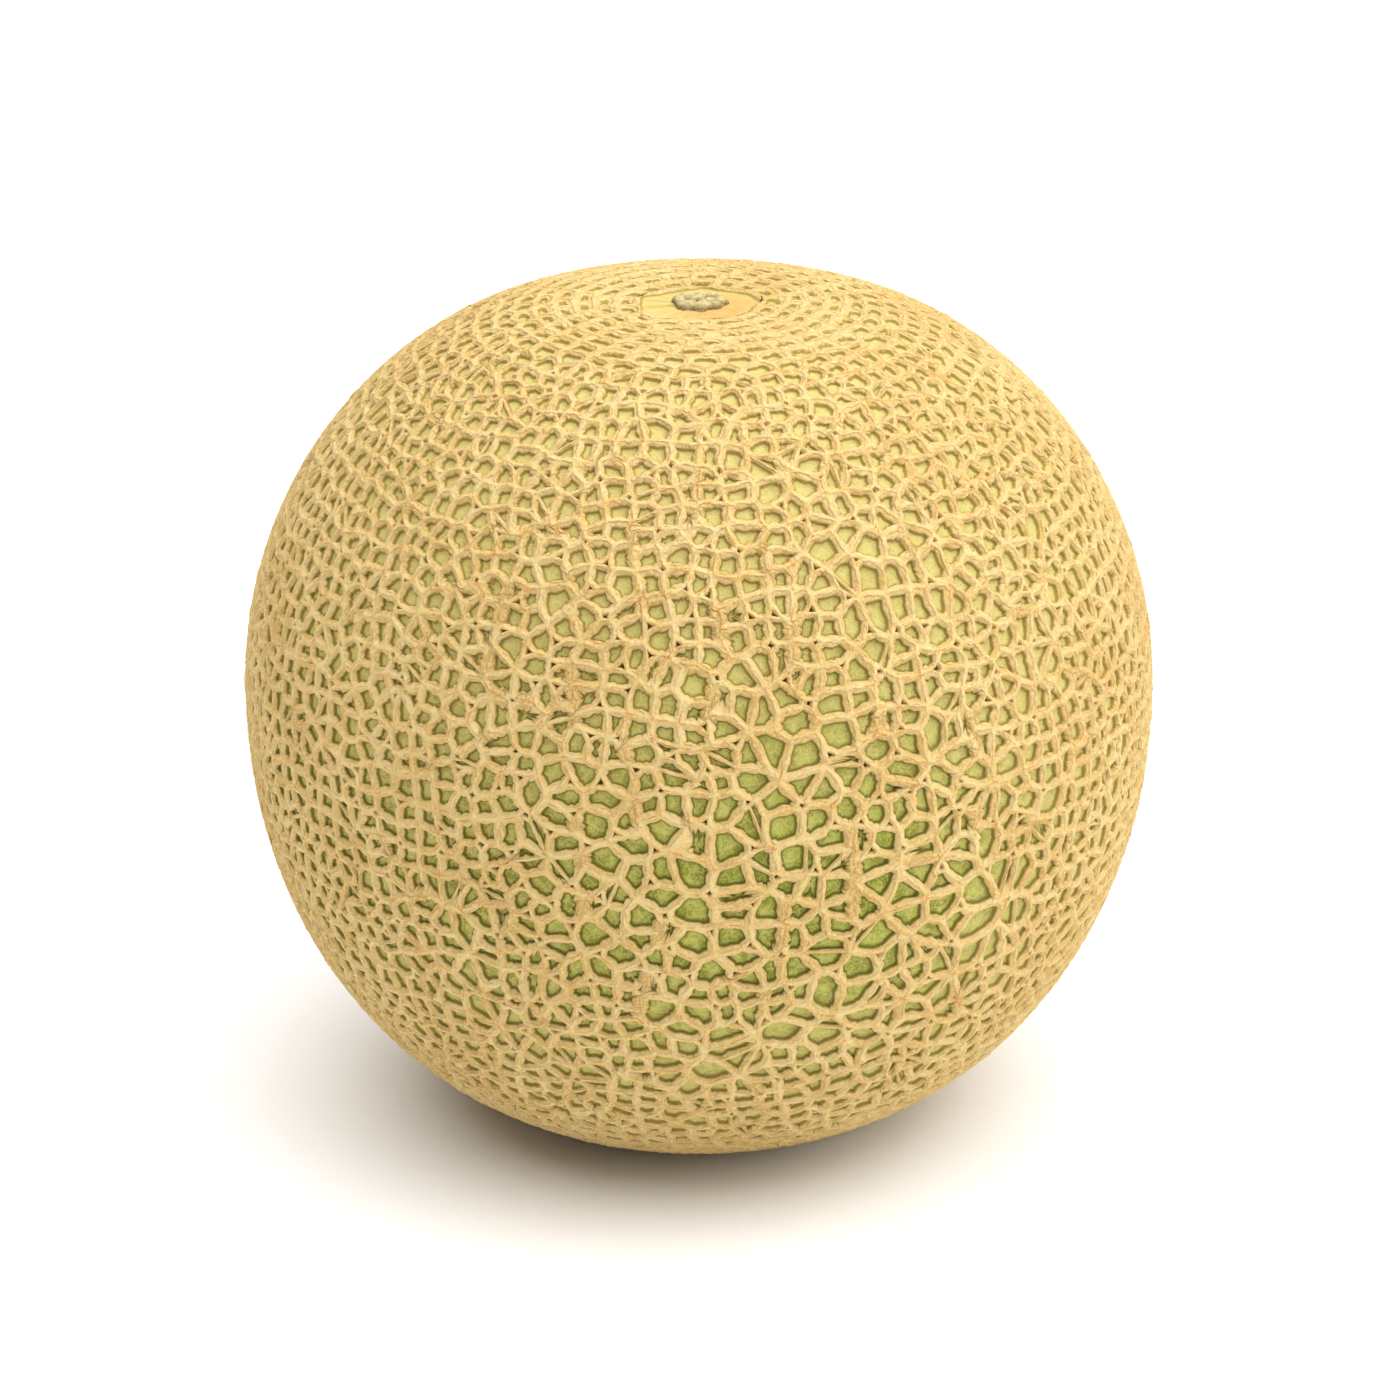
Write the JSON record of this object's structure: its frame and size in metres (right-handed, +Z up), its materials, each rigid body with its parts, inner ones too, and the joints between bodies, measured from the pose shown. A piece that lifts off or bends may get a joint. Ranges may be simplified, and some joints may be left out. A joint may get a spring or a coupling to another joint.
{
  "type": "cantaloupe melon",
  "caption": "Whole ripe netted melon, slightly flattened, with raised corky net, smooth disc and stem scar on top, and a small flat resting spot.",
  "frame": {"origin": "centre of the flat spot that the melon rests on", "axes": "+Z up through the stem scar, along the fruit's own axis of symmetry; +X and +Y are across it, with the pictured side towards -Y"},
  "size_m": [0.1599, 0.1598, 0.1478],
  "materials": {
    "netted_rind": "matt"
  },
  "bodies": {
    "root": {"melon": "netted_rind"}
  },
  "joints": []
}
